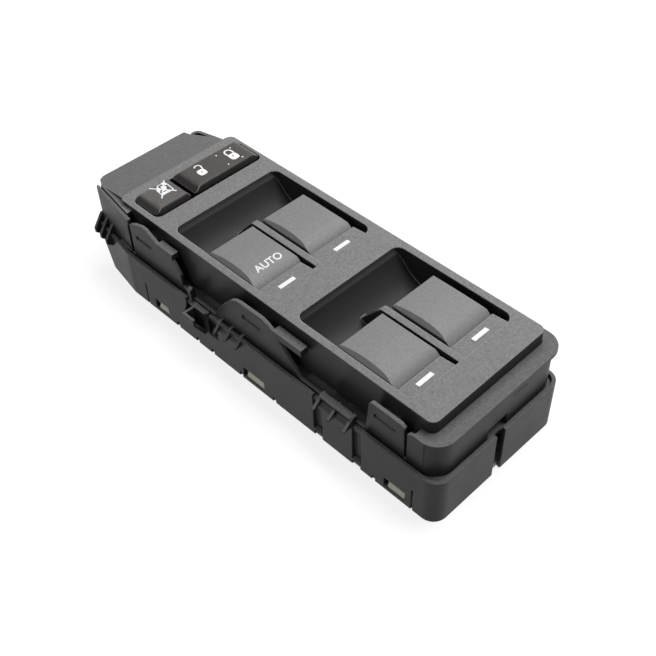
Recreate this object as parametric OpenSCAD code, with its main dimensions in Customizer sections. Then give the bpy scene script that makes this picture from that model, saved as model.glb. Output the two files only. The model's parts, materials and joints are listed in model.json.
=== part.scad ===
// Power window switch for a driver's door: a grained bezel with four window rockers,
// a door lock rocker and a window lockout button, clipped into a deep stepped housing.
// +X runs along the bezel, the clip tabs are on the -Y side, +Z is up.
// The bezel's near left top corner is the working origin until place() moves it.

/* [Bezel] */
// top kept between the second finger well and the bezel's right end
end_rim = 12; // [10:0.2:14]
// rim kept between the finger wells and the bezel's far edge
far_rim = 3.3; // [2.6:0.1:3.6]
// rounding of the bezel's outer corners
bezel_corner = 3; // [1:0.5:5]
// thickness of the bezel's top and walls
bezel_wall = 1.6; // [1.3:0.1:2.2]
// gap between the hanging near wall and the housing's shelf
bezel_lift = 2.6; // [2.2:0.2:6]
// how far the end wall and the far wall hang down
rim_drop = 6.6; // [6.2:0.1:8]
// how far the sloping tongue reaches past the left edge
tongue_reach = 21; // [19:0.5:24]
// how far the tongue falls on the way
tongue_fall = 3; // [1.5:0.5:4]

/* [Finger wells] */
// top kept between the buttons' opening and the first finger well
lock_bridge = 9.5; // [8:0.1:11]
// top kept between the two finger wells
well_bridge = 13.4; // [12:0.2:15]
// length of a finger well
well_length = 56.4; // [54:0.2:58]
// rim kept between a well and the bezel's near edge
well_rim = 3; // [2.4:0.1:3.2]
// rounding of a well's corners
well_corner = 4; // [2:0.5:5]
// radius of the curved ramp a fingertip slides down
ramp_radius = 22; // [20:0.5:24]
// height of the ramp's axis over the bezel's top
ramp_axis = 7.5; // [6.5:0.5:9]
// flat floor that follows the ramp
floor_flat = 5.7; // [4:0.1:7]
// thickness of the divider between two rockers
divider = 2.8; // [2:0.1:3.4]
// length of the landing behind the nose of a rocker
landing_length = 7.3; // [6:0.1:8.4]
// depth of the landing's left edge below the top
landing_low = 1.4; // [0.8:0.1:2]
// depth of the landing's right edge below the top
landing_high = 0.6; // [0.2:0.1:0.8]

/* [Window rockers] */
// width of a rocker
rocker_width = 22.4; // [20:0.1:23.2]
// gap on both sides of the divider
divider_gap = 1.2; // [0.8:0.1:1.6]
// gap between the far rocker and the well's far wall
far_gap = 3.7; // [2.6:0.1:4.4]
// depth of the pivots below the bezel's top
pivot_depth = 9.2; // [8.6:0.1:9.6]
// radius of the rounded nose about the pivot
nose_radius = 10.7; // [10.2:0.1:11.2]
// radius of the rocker's domed top
dome_radius = 70; // [56:1:90]
// lean of the line where dome and nose meet, in degrees
dome_lean = 6.8; // [5:0.2:9]
// lean of a rocker's upper side flanks away from upright, in degrees
flank_lean = 37; // [20:1:45]
// reach of the lifted lip from the pivot
lip_reach = 19.6; // [17.4:0.2:21]
// thickness of the lip's rounded edge
lip_thickness = 2.2; // [1.6:0.1:3]
// radius of the hollow a finger hooks into under the lip
scoop_radius = 12.5; // [11:0.1:13]
// thickness of the shell of every rocker and button
shell = 1.6; // [1.2:0.1:2]
// thickness of the round tip of a leg
leg_tip = 3; // [2.4:0.1:3.4]

/* [Lock rocker and lockout button] */
// left edge of the buttons' shared opening
button_x = 5.5; // [4.8:0.1:6.5]
// length of the opening along X
button_open = 16.8; // [16.2:0.1:17.6]
// near edge of the opening
button_y = 2.6; // [2.2:0.1:3]
// far rim kept beside the opening
button_rim = 1.4; // [1.2:0.1:2]
// gap between the lockout button and the lock rocker
button_gap = 1; // [0.8:0.1:1.4]
// depth of the lock rocker's pivot
lock_pivot_depth = 5; // [4:0.2:6]
// height of the lock rocker and the button over the bezel's top
button_height = 2.8; // [2:0.1:3.4]
// length of the lockout button along Y
lockout_length = 17.9; // [16.4:0.1:18.2]
// diameter of the lockout button's stem
stem_diameter = 5; // [4:0.1:6]
// travel of the lockout button
lockout_travel = 2.5; // [1.5:0.1:3]

/* [Pivots and gaps] */
// diameter of the pivot pins
pin_diameter = 2.9; // [2.4:0.1:3.2]
// radial play of a pin in its post
pin_play = 0.05; // [0.02:0.01:0.09]
// gap kept all round a moving part
moving_gap = 0.4; // [0.3:0.05:0.6]
// thickness of a pivot post
post_thickness = 2.5; // [2:0.1:3]

/* [Housing] */
// thickness of the housing's walls
wall = 1.5; // [1.2:0.1:1.8]
// distance of the upper near wall in front of the bezel
tab_gap = 4.5; // [4.2:0.1:5]
// how far the skirt stands out from the upper wall
skirt_step = 2.3; // [1.9:0.1:2.6]
// how far the end block reaches past the bezel
end_reach = 6.6; // [6:0.1:8]
// depth of the end block's ledge below the bezel's top
ledge_depth = 5.7; // [5:0.1:6]
// how far the ledge overhangs on the far side
ledge_overhang = 3.4; // [2:0.1:4]
// rounding of the end block's corners
end_corner = 8; // [5:0.5:9]
// height of the skirt's upper edge over the shelf
skirt_rise = 1.6; // [1.2:0.1:2]
// how far the box hook reaches out of the skirt
hook_reach = 6.2; // [5:0.1:7]
// depth of the shelf's upper face, which carries the switch carrier
shelf_depth = 22; // [21.8:0.1:22.6]
// thickness of the shelf, the carrier plate and the base cover
plate = 1.8; // [1.4:0.1:2]

/* [Board and socket] */
// distance from the shelf down to the board's upper face
board_gap = 8; // [7.8:0.1:9]
// distance from the board's upper face down to the bottom of the skirt
board_height = 12.4; // [11.6:0.1:15]
// thickness of the board
board_thickness = 1.6; // [1.2:0.1:2]
// length of the harness socket
socket_length = 34; // [28:0.5:38]
// width of the harness socket
socket_width = 16; // [13:0.5:18]
// number of contacts in one row of the socket
socket_columns = 8; // [5:1:8]

/* [Hidden] */
$fn = 32;
round_fn = 96;
dome_fn = 200;
tiny = 0.02;
over = 1;

// depths that follow the shelf
skirt_top = shelf_depth - skirt_rise;
bezel_drop = shelf_depth - bezel_lift;
knob_tip_depth = shelf_depth + 2;
leg_length = knob_tip_depth - pivot_depth;
board_depth = shelf_depth + board_gap;
overall_drop = board_depth + board_height;

// bezel and wells
rocker_side_gap = 0.3;
rocker_y = well_rim + rocker_side_gap;
rocker_pitch = rocker_width + divider + 2 * divider_gap;
well_width = rocker_side_gap + rocker_pitch + rocker_width + far_gap;
well_pitch = well_length + well_bridge;
well_x = button_x + button_open + lock_bridge;
well_left = [well_x, well_x + well_pitch];
bezel_width = well_rim + well_width + far_rim;
bezel_length = well_left[1] + well_length + end_rim;
divider_y = rocker_y + rocker_width + divider_gap;
landing_x = well_length - landing_length;
pivot_offset = landing_x
    - sqrt(pow(nose_radius + moving_gap, 2) - pow(pivot_depth - landing_low, 2));
ramp_x = sqrt(ramp_radius * ramp_radius - ramp_axis * ramp_axis);
well_depth = ramp_radius - ramp_axis;

// the small features of the walls stretch with the bezel they were laid out for
along = bezel_length / 170;
across = bezel_width / 60.3;

// rockers, measured from their pivot
tangent_x = nose_radius * sin(dome_lean);
dome_x = -(dome_radius - nose_radius) * sin(dome_lean);
dome_z = -(dome_radius - nose_radius) * cos(dome_lean);
tip_x = lip_thickness / 2 - lip_reach;
tip_z = dome_z + sqrt(pow(dome_radius - lip_thickness / 2, 2) - pow(tip_x - dome_x, 2));
scoop_z = tip_z - scoop_radius - lip_thickness / 2;
skirt_drop = 4.5;
post_inset = shell + 0.6;
leg_shank = leg_tip - 0.8;
leg_width = 3;

// lock rocker and lockout button
button_far = bezel_width - button_rim;
button_mid = button_x + button_open / 2;
button_left = button_x + moving_gap;
button_right = button_x + button_open - moving_gap;
lockout_near = button_y + moving_gap;
lockout_far = lockout_near + lockout_length;
lockout_mid = (lockout_near + lockout_far) / 2;
lock_reach = (button_far - moving_gap - lockout_far - button_gap) / 2;
lock_y = button_far - moving_gap - lock_reach;
cap_drop = 7;
lock_leg = knob_tip_depth - lock_pivot_depth;

// housing
x_left = -tongue_reach;
upper_right = bezel_length + end_reach;
x_right = upper_right + skirt_step + 0.1;
y_tab = -tab_gap;
y_skirt = y_tab - skirt_step;
y_near = y_skirt - hook_reach;
upper_far = bezel_width + 0.9;
y_far = upper_far + ledge_overhang;
end_left = -17.5;
taper_x = 10;
floor_z = -overall_drop;
shelf_z = -shelf_depth;
tab_foot = shelf_z - plate;
// left end, right end and middle depth of every slot in the clip tabs
tab_slots = [[15.2 * along, 25.1 * along, 9.5], [80.2 * along, 90.2 * along, 9.6],
             [147.8 * along, 157.5 * along, 9.9]];
slot_height = 2.2;
tab_slits = [[11.2 * along, 14], [bezel_length - 8, 17.3]];
gusset_sets = [[67.5, 73.6, 79.8] * along, [123.7, 131.2, 138.8] * along];
lug_x = [[24.5, 33] * along, [80, 92] * along, [bezel_length - 15, bezel_length - 5]];
lug_far_x = [[30, 40] * along, [95, 107] * along, [140, 150] * along];
end_slot = [24.3 * across, 28.9 * across];
end_slit = [34.5 * across, 41.8 * across];

// board, knobs and socket
board_z = -board_depth;
carrier_top = shelf_z + plate;
knob_x = 3.1;
knob_y = 2.2;
fork_gap = 0.35;
fork_foot = knob_tip_depth + leg_tip / 2 + 0.6;
knob_foot = fork_foot + 2;
body_top = knob_tip_depth + 1;
slide_travel = leg_length * sin(8);
socket_x = well_x + pivot_offset + well_pitch / 2;
socket_y = rocker_y + rocker_pitch + rocker_width / 2;
socket_wall = 1.4;
pin_pitch = 3.6;

// geometry helpers

function unit(v) = v / norm(v);
function around(p, i, step) = p[(i + step + len(p)) % len(p)];
function toward(p, i, step) = unit(around(p, i, step) - p[i]);
function half_angle(p, i) = acos(toward(p, i, -1) * toward(p, i, 1)) / 2;
function inside(p, i, r) =
    p[i] + unit(toward(p, i, -1) + toward(p, i, 1)) * r / sin(half_angle(p, i));
// the same convex outline, drawn d further in
function inward(p, d) = [for (i = [0 : len(p) - 1]) inside(p, i, d)];
function box_outline(x0, y0, x1, y1) = [[x0, y0], [x1, y0], [x1, y1], [x0, y1]];
function less(radii, d) = [for (r = radii) max(r - d, 0)];

// a convex outline with one rounding per corner
module soft(p, radii) {
    polygon([for (i = [0 : len(p) - 1])
        each radii[i] > 0
            ? [p[i] + toward(p, i, -1) * radii[i] / tan(half_angle(p, i)),
               p[i] + toward(p, i, 1) * radii[i] / tan(half_angle(p, i))]
            : [p[i]]]);
    for (i = [0 : len(p) - 1])
        if (radii[i] > 0)
            translate(inside(p, i, radii[i]))
                circle(r = radii[i]);
}

module slab(z0, z1)
    translate([0, 0, z0])
        linear_extrude(z1 - z0)
            children();

// a side profile, drawn as (x, z), given a length along Y
module along_y(y0, y1)
    translate([0, y1, 0])
        rotate([90, 0, 0])
            linear_extrude(y1 - y0)
                children();

// a cross profile, drawn as (y, z), given a length along X
module along_x(x0, x1)
    translate([x0, 0, 0])
        rotate([90, 0, 90])
            linear_extrude(x1 - x0)
                children();

module block(x0, y0, z0, x1, y1, z1)
    translate([x0, y0, z0])
        cube([x1 - x0, y1 - y0, z1 - z0]);

module place()
    translate([-(x_left + x_right) / 2, -(y_near + y_far) / 2, overall_drop])
        children();

// bezel

module ramp_profile(left, extra) {
    translate([left + ramp_x, ramp_axis])
        circle(r = ramp_radius + extra, $fn = dome_fn);
    translate([left + ramp_x, -well_depth - extra])
        square([floor_flat, well_depth + ramp_axis]);
}

module well_outline(left, extra)
    soft(box_outline(left - extra, well_rim - extra,
                     left + well_length + extra, well_rim + well_width + extra),
         [for (i = [0 : 3]) well_corner + extra]);

module well_body(left)
    intersection() {
        slab(-well_depth - bezel_wall, -tiny)
            well_outline(left, bezel_wall);
        along_y(0, bezel_width)
            union() {
                ramp_profile(left, bezel_wall);
                translate([left + ramp_x, -well_depth - bezel_wall])
                    square([well_length, well_depth + bezel_wall]);
            }
    }

module well_space(left)
    intersection() {
        slab(-well_depth - bezel_wall - over, over)
            well_outline(left, 0);
        along_y(0, bezel_width)
            union() {
                ramp_profile(left, 0);
                translate([left + ramp_x + floor_flat - tiny, -well_depth - 3])
                    square([well_length, well_depth + 6]);
            }
    }

// wall between the two rockers, which runs down into the well as a sloping fin
module divider_wall(left)
    along_y(divider_y, divider_y + divider)
        soft([[left + 9.2, -well_depth * 0.83],
              [left + ramp_x, -well_depth - bezel_wall * 0.8],
              [left + well_length + tiny, -well_depth - bezel_wall * 0.8],
              [left + well_length + tiny, -tiny],
              [left + ramp_x - 1.2, -tiny]],
             [0, 0, 0, 0, 2.5]);

// low step behind the nose of a rocker; it carries the white bar
module landing(left, y0, y1)
    difference() {
        along_y(y0, y1)
            polygon([[left + landing_x - 0.6, -landing_low],
                     [left + well_length + tiny, -landing_high],
                     [left + well_length + tiny, -landing_high - bezel_wall],
                     [left + landing_x - 0.6, -landing_low - bezel_wall]]);
        translate([left + pivot_offset, y0 - over, -pivot_depth])
            rotate([-90, 0, 0])
                cylinder(r = nose_radius + moving_gap, h = y1 - y0 + 2 * over, $fn = round_fn);
    }

// the tongue is a thin sloping plate with a rounded leading edge
module tongue() {
    slope = tongue_fall / (tongue_reach + 4);
    intersection() {
        slab(-12, over)
            polygon([[8, 1], [-14, 1.4], [-19, 3.6], [x_left, 7.4],
                     [x_left, bezel_width - 10.6], [x_left + 4.7, bezel_width - 9.8],
                     [-4.6, bezel_width - 5], [8, bezel_width - 2]]);
        along_y(0, bezel_width)
            union() {
                polygon([[5, -tiny], [4, 0], [x_left + 1.2, -slope * (tongue_reach + 2.8)],
                         [x_left + 1.2, -slope * (tongue_reach + 2.8) - 2.4],
                         [5, -2.4]]);
                translate([x_left + 1.2, -slope * (tongue_reach + 2.8) - 1.2])
                    circle(r = 1.2);
            }
    }
}

module bezel() {
    rim = box_outline(0, 0, bezel_length, bezel_width);
    radii = [for (i = [0 : 3]) bezel_corner];
    color("dimgray")
        union() {
            difference() {
                union() {
                    difference() {
                        slab(-rim_drop, 0)
                            soft(rim, radii);
                        slab(-rim_drop - over, -bezel_wall)
                            soft(inward(rim, bezel_wall), less(radii, bezel_wall));
                    }
                    block(bezel_corner, 0, -bezel_drop, bezel_length - bezel_corner,
                          bezel_wall, -bezel_wall / 2);
                    for (left = well_left)
                        well_body(left);
                    slab(-rim_drop, -tiny)
                        soft(box_outline(button_x - bezel_wall, tiny,
                                         button_x + button_open + bezel_wall,
                                         bezel_width - tiny),
                             [2, 2, 2, 2]);
                    tongue();
                    // low flank between the tongue and the housing's near rim
                    slab(-4.2, -2.2)
                        polygon([[8, rim_y(8)], [8, 2], [-15, 2.6], [-15, rim_y(-15)]]);
                }
                for (left = well_left)
                    well_space(left);
                slab(-cap_drop - over, over)
                    soft(box_outline(button_x, button_y, button_x + button_open, button_far),
                         [3, 3, 3, 3]);
            }
            for (left = well_left) {
                divider_wall(left);
                landing(left, well_rim - tiny, divider_y - 1.5);
                landing(left, divider_y + divider - tiny, well_rim + well_width - 3);
            }
            // catches behind the slots of the clip tabs
            for (s = tab_slots)
                along_x(s[0] + 1.3, s[1] - 1.3)
                    polygon([[tiny, 1.5 - s[2]], [tiny, -3.5 - s[2]],
                             [y_tab + wall + 0.3, -0.7 - s[2]],
                             [y_tab + wall + 0.3, 0.1 - s[2]]]);
        }
}

// housing

// near wall of the tapered left end, and the line kept clear of its inner face
function taper_y(x) = y_tab + 4.2 * (taper_x - x) / (taper_x - end_left);
function rim_y(x) = taper_y(x) + wall + 0.3;

// side features of the near wall, stretched with the bezel
function stretched(points) = [for (p = points) [p[0] * along, p[1]]];

module upper_outline(d) {
    p = [[taper_x, y_tab], [upper_right, y_tab], [upper_right, upper_far],
         [8, upper_far], [-4.9, upper_far - 3], [end_left, upper_far - 6],
         [end_left, y_tab + 4.2]];
    soft(inward(p, d), less([0, end_corner, end_corner, 0, 0, 3, 3], d));
}

module skirt_outline(d) {
    p = [[taper_x - 1, y_skirt], [x_right, y_skirt], [x_right, upper_far + 0.6],
         [8, upper_far + 0.6], [end_left, upper_far - 5.4], [end_left, y_skirt + 4.6]];
    soft(inward(p, d), less([0, 6, 6, 0, 1.2, 1.2], d));
}

// the skirt's left end leans inward toward the bottom
module lean_profile(d)
    polygon([[end_left + d, -skirt_top + over], [end_left + d, -skirt_top - 5.6],
             [end_left + 7.2 + d, floor_z - tiny - d],
             [x_right + over, floor_z - tiny - d], [x_right + over, -skirt_top + over]]);

module skirt_solid(d)
    intersection() {
        slab(floor_z - (d > 0 ? over : 0), -skirt_top + (d > 0 ? over : 0))
            skirt_outline(d);
        along_y(y_skirt - over, y_far)
            lean_profile(d);
    }

// clip tabs of the near wall, seen from the front
module tab_faces() {
    polygon(stretched([[11.8, tab_foot], [11.8, -4.7], [15.1, -2.9], [20, -1.3],
                       [22.6, -1.3], [28.8, -4.4], [38.6, -7.4], [42.8, -13],
                       [43.7, 2.2 - skirt_top], [47.5, 1 - skirt_top], [47.5, tab_foot]]));
    polygon(stretched([[61.9, tab_foot], [61.9, tab_foot + 2.2], [68.3, -11.6],
                       [73.9, -5.4], [76.4, -3.9], [78.9, -3.2], [91.2, -3], [94.2, -3.8],
                       [96.8, -5.3], [100.5, -8.9], [111.5, tab_foot + 2.8],
                       [111.5, tab_foot]]));
    polygon([[142.6 * along, tab_foot], [144.1 * along, 4.3 - skirt_top],
             [145.3 * along, -5.6], [146.4 * along, -4.4], [bezel_length - 10.2, -4.4],
             [bezel_length - 8.6, -5.5], [bezel_length - 8, tab_foot]]);
    polygon([[bezel_length - 7.2, tab_foot], [bezel_length - 7.2, -ledge_depth - 1.3],
             [bezel_length - 4.7, -ledge_depth - tiny], [bezel_length, -ledge_depth - tiny],
             [bezel_length, tab_foot]]);
    translate([0, tab_foot])
        square([bezel_length, -tab_foot - skirt_top]);
}

module tab_openings() {
    for (s = tab_slots)
        translate([s[0], -s[2] - slot_height / 2])
            square([s[1] - s[0], slot_height]);
    for (s = tab_slits)
        translate([s[0] - 0.3, -s[1]])
            square([0.7, s[1]]);
}

// one bracket: upright ribs with sloped floors between them
module gusset(ribs, y_top, z_top, y_out, z_out) {
    for (x = ribs)
        along_x(x - 0.6, x + 0.6)
            polygon([[y_tab + 0.4, z_top], [y_top, z_top], [y_out, z_out], [y_tab + 0.4, z_out]]);
    along_x(ribs[0], ribs[2])
        polygon([[y_tab + 0.4, z_top - 3], [y_tab - 0.3, z_top - 3],
                 [y_out + 2.2, z_out + 0.2], [y_out + 2.2, z_out], [y_tab + 0.4, z_out]]);
}

// small upright ribs on the tapered left end
module end_ribs()
    for (x = [end_left + 1.5, end_left + 6.5, end_left + 11.5])
        along_x(x - 0.6, x + 0.6)
            polygon([[taper_y(x) + 0.8, 4.4 - skirt_top], [taper_y(x) - 0.6, 4.4 - skirt_top],
                     [taper_y(x) - 5, -skirt_top - 1.6], [taper_y(x) - 5, -skirt_top - 3.8],
                     [taper_y(x) - 1.4, -skirt_top - 6.6]]);

module box_hook() {
    outer_foot = y_near + 4.5;
    left = 52.9 * along;
    difference() {
        along_x(left, left + 6.7)
            polygon([[y_skirt + 0.4, -skirt_top], [y_near, -skirt_top],
                     [y_near, -skirt_top - 3.1], [outer_foot, -skirt_top - 10.6],
                     [y_skirt + 0.4, -skirt_top - 10.6]]);
        along_x(left + 1, left + 6.7 + over)
            polygon([[y_skirt - 0.8, -skirt_top + over], [y_near + 1, -skirt_top + over],
                     [y_near + 1, -skirt_top - 2.9], [outer_foot + 0.8, -skirt_top - 9.2],
                     [y_skirt - 0.8, -skirt_top - 9.2]]);
    }
}

// windows, slits, grooves and notches cut into the skirt
module skirt_cuts() {
    y0 = y_skirt - over;
    y1 = y_skirt + wall + over;
    window_foot = -skirt_top - 11.3;
    for (x = lug_x)
        block(x[0], y0, floor_z + 1.4, x[1], y1, floor_z + 6.4);
    for (x = lug_far_x)
        block(x[0], upper_far - wall - over, floor_z + 1.4, x[1], y_far, floor_z + 6.4);
    for (x = [18.9 * along, bezel_length - 1.8])
        block(x - 0.4, y0, floor_z - over, x + 0.4, y1, -skirt_top - 10.6);
    for (x = [38.9, 51.5, 61, 78.4, 97.7, 150] * along)
        block(x - 0.8, y0, floor_z - over, x + 0.8, y1, floor_z + 2.4);
    for (x = [122, 141.5] * along)
        block(x - 2, y0, floor_z - over, x + 2, y1, floor_z + 2.4);
    for (x = [[119.5, 124.3], [139.4, 144]] * along)
        block(x[0], y0, floor_z + 3, x[1], y1, -skirt_top + over);
    along_y(y0, y1)
        polygon(stretched([[47.6, -skirt_top + over], [47.1, -skirt_top - 4.2],
                           [43.9, window_foot], [52.2, window_foot],
                           [52.2, -skirt_top + over]]));
    block(60.4 * along, y0, window_foot, 66 * along, y1, -skirt_top + over);
    block(x_right - wall - over, end_slot[0], floor_z - over, x_right + over, end_slot[1],
          -skirt_top + over);
}

module housing() {
    color("darkslategray")
        union() {
            difference() {
                union() {
                    difference() {
                        slab(tab_foot, -ledge_depth)
                            upper_outline(0);
                        slab(tab_foot - over, -ledge_depth + over)
                            upper_outline(wall);
                        block(taper_x, y_tab - over, -skirt_top, bezel_length - 4.7,
                              y_tab + wall + over, 0);
                        block(-0.4, bezel_width / 2, -rim_drop - 0.1, bezel_length, y_far, 0);
                        block(upper_right - wall - over, end_slot[0] - 2.3, tab_foot - over,
                              upper_right + over, end_slot[1] + 3.1, -16.5);
                        block(upper_right - wall - over, end_slit[0], -9.2,
                              upper_right + over, end_slit[1], -8.4);
                    }
                    intersection() {
                        difference() {
                            slab(-ledge_depth - tiny, -3)
                                upper_outline(0);
                            slab(-ledge_depth - over, -3 + over)
                                upper_outline(wall);
                        }
                        difference() {
                            union() {
                                block(end_left - over, y_tab - over, -ledge_depth - over,
                                      taper_x + 1, 1, over);
                                block(end_left - over, bezel_width / 2, -ledge_depth - over,
                                      -0.4, upper_far, over);
                            }
                            block(end_left - 2 * over, 1, -ledge_depth - 2 * over, -4,
                                  bezel_width - 8.6, 2 * over);
                        }
                    }
                    along_y(y_tab, y_tab + wall)
                        tab_faces();
                }
                along_y(y_tab - over, y_tab + wall + tiny)
                    tab_openings();
            }
            // stops beside the clip tabs
            block(29.3 * along, y_tab + tiny, -7.2, 39 * along, y_tab + 3.3, -4.6);
            block(97.2 * along, y_tab + tiny, -8, 112 * along, y_tab + 3.7, -5);
            // ledge round the end of the bezel
            difference() {
                slab(-ledge_depth - wall, -ledge_depth)
                    soft(box_outline(0, y_tab, upper_right, y_far),
                         [0, end_corner, end_corner, 0]);
                block(-over, y_tab - over, -ledge_depth - wall - over, bezel_length - 4.7,
                      y_far + over, over);
                slab(-ledge_depth - wall - over, over)
                    soft(box_outline(0, -tiny, bezel_length + 0.1, bezel_width + 0.2),
                         [0, bezel_corner, bezel_corner, 0]);
            }
            // shelf that joins the upper wall to the skirt
            difference() {
                slab(shelf_z - plate, shelf_z)
                    skirt_outline(wall / 2);
                block(-12, 5, shelf_z - plate - over, bezel_length - 4, bezel_width - 5,
                      shelf_z + over);
                block(x_right - wall - over, end_slot[0], shelf_z - plate - over,
                      x_right + over, end_slot[1], shelf_z + over);
            }
            difference() {
                skirt_solid(0);
                skirt_solid(wall);
                skirt_cuts();
            }
            // backs of the two grooves
            for (x = [[118.5, 125.3], [138.4, 145]] * along)
                block(x[0], y_skirt + wall - tiny, floor_z + 2.6, x[1],
                      y_skirt + 2 * wall, shelf_z - tiny);
            gusset(gusset_sets[0], y_tab - 1.2, 0.8 - skirt_top, y_tab - 5.3,
                   -skirt_top - 3.6);
            gusset(gusset_sets[1], y_tab - 1.4, 3.2 - skirt_top, y_tab - 6.5,
                   -skirt_top - 1.4);
            // bar across the tops of the second bracket's ribs
            block(gusset_sets[1][0], y_tab - 2.8, 2 - skirt_top, gusset_sets[1][2], y_tab,
                  3.2 - skirt_top);
            end_ribs();
            box_hook();
            // upright prong beside the hook
            along_x(48.2 * along, 48.2 * along + 2)
                polygon([[y_tab + 0.8, -skirt_top - 1], [y_tab + 0.8, 4.4 - skirt_top],
                         [y_tab, 5.8 - skirt_top], [y_tab - 1.6, 4.8 - skirt_top],
                         [y_tab - 1.2, -skirt_top - 1]]);
        }
}

// base cover with its snap lugs and the opening for the socket

module base_cover() {
    y0 = y_skirt + wall + 0.2;
    y1 = upper_far + 0.6 - wall - 0.2;
    left = end_left + 7.2 + wall + 0.8;
    color("honeydew")
        union() {
            difference() {
                slab(floor_z, floor_z + plate)
                    intersection() {
                        soft(box_outline(left, y0 + 2.6, x_right - wall - 0.2, y1),
                             [3, 5, 5, 3]);
                        skirt_outline(wall + 0.2);
                    }
                block(socket_x - socket_length / 2 - 0.3, socket_y - socket_width / 2 - 0.3,
                      floor_z - over, socket_x + socket_length / 2 + 0.3,
                      socket_y + socket_width / 2 + 0.3, floor_z + plate + over);
            }
            for (x = lug_x)
                union() {
                    block(x[0] + 1.6, y0, floor_z, x[1] - 0.6, y0 + 1.3, floor_z + 6);
                    block(x[0] + 1.6, y0 + tiny, floor_z, x[1] - 0.6, y0 + 5, floor_z + plate);
                    along_x(x[0] + 1.6, x[1] - 0.6)
                        polygon([[y0 + tiny, floor_z + 1.8], [y0 + tiny, floor_z + 5.4],
                                 [y0 - 1.2, floor_z + 2.6], [y0 - 1.2, floor_z + 1.8]]);
                }
            for (x = lug_far_x)
                block(x[0] + 0.6, y1 - 1.3, floor_z, x[1] - 0.6, y1, floor_z + 6);
            // ribs on the inside
            for (x = [20, 50, 135, 150] * along)
                block(x, 6, floor_z + tiny, x + 1.2, bezel_width - 6, floor_z + plate + 2);
        }
}

// carrier plate with the pivot posts, the stem's sleeve and the board's pillars

module pivot_post(thickness)
    difference() {
        union() {
            circle(r = 3);
            translate([-3, carrier_top + thickness])
                square([6, -carrier_top - thickness]);
        }
        circle(d = pin_diameter + 2 * pin_play, $fn = round_fn);
    }

module rocker_posts()
    for (side = [post_inset, rocker_width - post_inset - post_thickness])
        translate([0, side + post_thickness, -pivot_depth])
            rotate([90, 0, 0])
                linear_extrude(post_thickness)
                    pivot_post(pivot_depth - tiny);

module lock_posts()
    for (side = [button_left + post_inset, button_right - post_inset - post_thickness])
        translate([side, lock_y, -lock_pivot_depth])
            rotate([90, 0, 90])
                linear_extrude(post_thickness)
                    pivot_post(lock_pivot_depth - tiny);

module each_rocker()
    for (left = well_left, i = [0, 1])
        translate([left + pivot_offset, rocker_y + i * rocker_pitch, 0])
            children();

module switch_carrier() {
    z0 = shelf_z;
    pillar_x = [27, 58, 97, 127, 160] * along;
    color("gainsboro")
        difference() {
            union() {
                slab(z0, carrier_top)
                    soft(box_outline(-3, bezel_wall + 0.8, bezel_length - 1,
                                     bezel_width - 3), [6, 3, 3, 6]);
                each_rocker()
                    rocker_posts();
                lock_posts();
                slab(z0, z0 + 8)
                    translate([button_mid, lockout_mid])
                        circle(d = stem_diameter + 4, $fn = round_fn);
                for (x = pillar_x, y = [10, bezel_width - 10])
                    translate([x, y, board_z])
                        cylinder(d = 5, h = z0 - board_z + tiny);
            }
            each_rocker()
                block(-4.2, rocker_width / 2 - 2.6, z0 - over, 4.2, rocker_width / 2 + 2.6,
                      carrier_top + over);
            block(button_mid - 2.6, lock_y - 4.2, z0 - over, button_mid + 2.6, lock_y + 4.2,
                  carrier_top + over);
            translate([button_mid, lockout_mid, z0 - over])
                cylinder(d = stem_diameter + 2 * pin_play, h = 8 + 2 * over, $fn = round_fn);
        }
}

// window rockers

// side profile about the pivot, drawn t further in
module rocker_side(t) {
    difference() {
        intersection() {
            union() {
                intersection() {
                    translate([dome_x, dome_z])
                        circle(r = dome_radius - t, $fn = dome_fn);
                    translate([tip_x, -skirt_drop - over])
                        square([tangent_x - tip_x, nose_radius + skirt_drop + 2 * over]);
                }
                circle(r = nose_radius - t, $fn = round_fn);
            }
            translate([tip_x, -skirt_drop - t])
                square([lip_reach + nose_radius, nose_radius + skirt_drop + 2 * over]);
        }
        translate([tip_x, scoop_z])
            circle(r = scoop_radius + t, $fn = round_fn);
    }
    if (t == 0)
        translate([tip_x, tip_z])
            circle(d = lip_thickness);
}

// cross profile with flanks that lean inward above the bezel's top
module flank_profile() {
    rise = 4;
    inset = rise * tan(flank_lean);
    polygon([[0, -nose_radius - over], [rocker_width, -nose_radius - over],
             [rocker_width, pivot_depth], [rocker_width - inset, pivot_depth + rise],
             [inset, pivot_depth + rise], [0, pivot_depth]]);
}

module leg(length)
    union() {
        circle(d = leg_shank + 1.4);
        translate([-leg_shank / 2, -length])
            square([leg_shank, length + nose_radius - shell / 2]);
        translate([0, -length])
            circle(d = leg_tip, $fn = round_fn);
    }

module window_rocker() {
    mid = rocker_width / 2;
    color("gray")
        union() {
            difference() {
                intersection() {
                    along_y(0, rocker_width)
                        rocker_side(0);
                    along_x(-lip_reach - over, nose_radius + over)
                        flank_profile();
                }
                along_y(shell, rocker_width - shell)
                    rocker_side(shell);
            }
            along_y(mid - leg_width / 2, mid + leg_width / 2)
                leg(leg_length);
            for (y = [tiny, rocker_width - shell - post_thickness - 0.8])
                translate([0, y, 0])
                    rotate([-90, 0, 0])
                        cylinder(d = pin_diameter, h = shell + post_thickness + 0.8 - tiny,
                                 $fn = round_fn);
        }
}

module at_rocker(well, row)
    translate([well_left[well] + pivot_offset, rocker_y + row * rocker_pitch, -pivot_depth])
        children();

module driver_window_rocker()
    at_rocker(0, 0)
        window_rocker();

module passenger_window_rocker()
    at_rocker(0, 1)
        window_rocker();

module rear_window_rocker_near()
    at_rocker(1, 0)
        window_rocker();

module rear_window_rocker_far()
    at_rocker(1, 1)
        window_rocker();

// slide switches: a body on the board and a forked knob that a leg moves

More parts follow.
